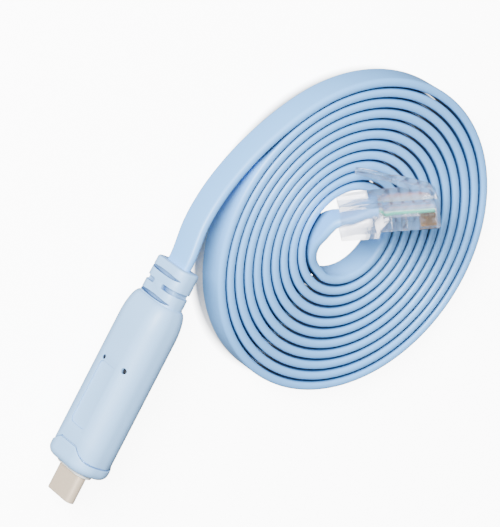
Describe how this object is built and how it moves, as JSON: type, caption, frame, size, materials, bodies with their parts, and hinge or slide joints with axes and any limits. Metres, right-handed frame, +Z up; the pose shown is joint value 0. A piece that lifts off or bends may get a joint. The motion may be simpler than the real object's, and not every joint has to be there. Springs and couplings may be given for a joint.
{
  "type": "console cable",
  "caption": "Flat cable wound in a flat coil, with a moulded USB-C housing on one end and a clear modular plug on the other.",
  "frame": {"origin": "on the floor under the middle of the USB-C connector, measured along its axis from the shell's tip to the end of the strain relief", "axes": "+X along the connector's axis from the shell towards the cable, +Y away from the coil, towards the face with the bare label panel, +Z up"},
  "size_m": [0.1115, 0.0861, 0.0269],
  "materials": {
    "connector_shell": "polished pale gold plating",
    "black_plastic": "gloss",
    "collar_plastic": "satin",
    "blue_plastic": "satin",
    "cable_jacket": "satin",
    "clear_plastic": "clear moulded plastic",
    "conductor_insulation": "satin",
    "contact_gold": "polished"
  },
  "bodies": {
    "root": {"usb_c_shell": "connector_shell", "usb_c_insulator": "black_plastic", "nose_collar": "collar_plastic", "front_cap": "blue_plastic", "usb_housing": "blue_plastic", "indicator_small": "black_plastic", "indicator_large": "black_plastic", "strain_relief": "blue_plastic", "cable_coil": "cable_jacket", "cable_tail": "cable_jacket", "cable_lead": "cable_jacket", "cable_end": "cable_jacket", "plug_body": "clear_plastic", "conductor_1": "conductor_insulation", "contact_1": "contact_gold", "conductor_2": "conductor_insulation", "contact_2": "contact_gold", "conductor_3": "conductor_insulation", "contact_3": "contact_gold", "conductor_4": "conductor_insulation", "contact_4": "contact_gold", "conductor_5": "conductor_insulation", "contact_5": "contact_gold", "conductor_6": "conductor_insulation", "contact_6": "contact_gold", "conductor_7": "conductor_insulation", "contact_7": "contact_gold", "conductor_8": "conductor_insulation", "contact_8": "contact_gold"}
  },
  "joints": []
}
